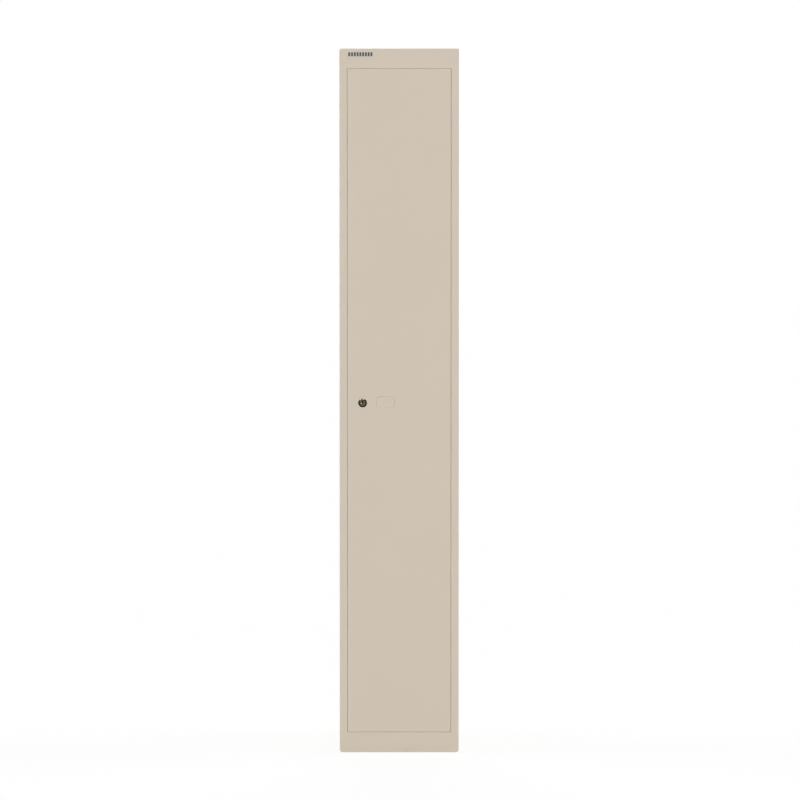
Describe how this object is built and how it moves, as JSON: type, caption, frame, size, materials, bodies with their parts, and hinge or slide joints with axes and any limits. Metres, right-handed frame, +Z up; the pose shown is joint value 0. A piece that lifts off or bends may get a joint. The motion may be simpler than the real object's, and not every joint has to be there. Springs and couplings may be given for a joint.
{
  "type": "metal locker",
  "caption": "Tall narrow sheet-steel clothes locker with a flush hinged door, a cam lock, a hat shelf and a coat hook.",
  "frame": {"origin": "on the floor, under the middle of the object's box", "axes": "+Z up, the door faces -Y, its hinges are on the +X side"},
  "size_m": [0.305, 0.4596, 1.802],
  "materials": {
    "paint": "satin powder coat",
    "zinc": "bright zinc plate",
    "lock_metal": "black nickel plate",
    "badge": "satin with a dark field",
    "rubber": "matte",
    "nylon": "natural"
  },
  "bodies": {
    "carcass": {"back_panel": "paint", "badge_plate": "badge", "bottom_rail": "paint", "coat_hook": "zinc", "coat_hook_rivets": "zinc", "door_buffers": "rubber", "floor_panel": "paint", "hat_shelf": "paint", "hinge_leaf_bottom": "paint", "hinge_leaf_middle": "paint", "hinge_leaf_top": "paint", "left_side_panel": "paint", "lock_keeper": "zinc", "right_side_panel": "paint", "shelf_clips": "paint", "top_panel": "paint", "top_rail": "paint"},
    "door": {"door_panel": "paint", "door_stiffener": "paint", "hinge_bracket_bottom": "paint", "hinge_bracket_middle": "paint", "hinge_bracket_top": "paint", "hinge_pin_bottom": "zinc", "hinge_pin_middle": "zinc", "hinge_pin_top": "zinc", "hinge_washers": "nylon", "lock_housing": "lock_metal", "lock_nut": "zinc", "lock_washer": "zinc"},
    "lock_cylinder": {"lock_plug": "lock_metal", "stop_washer": "zinc", "lock_cam": "zinc", "cam_screw": "zinc"}
  },
  "joints": [
    {"name": "door_hinge", "type": "hinge", "parent": "carcass", "child": "door", "pos_m": [0.1202, -0.2229, 0.9015], "axis": [0, 0, 1], "range_deg": [0, 105]},
    {"name": "lock_turn", "type": "hinge", "parent": "door", "child": "lock_cylinder", "pos_m": [-0.0936, -0.2272, 0.898], "axis": [0, 1, 0], "range_deg": [0, 90]}
  ]
}
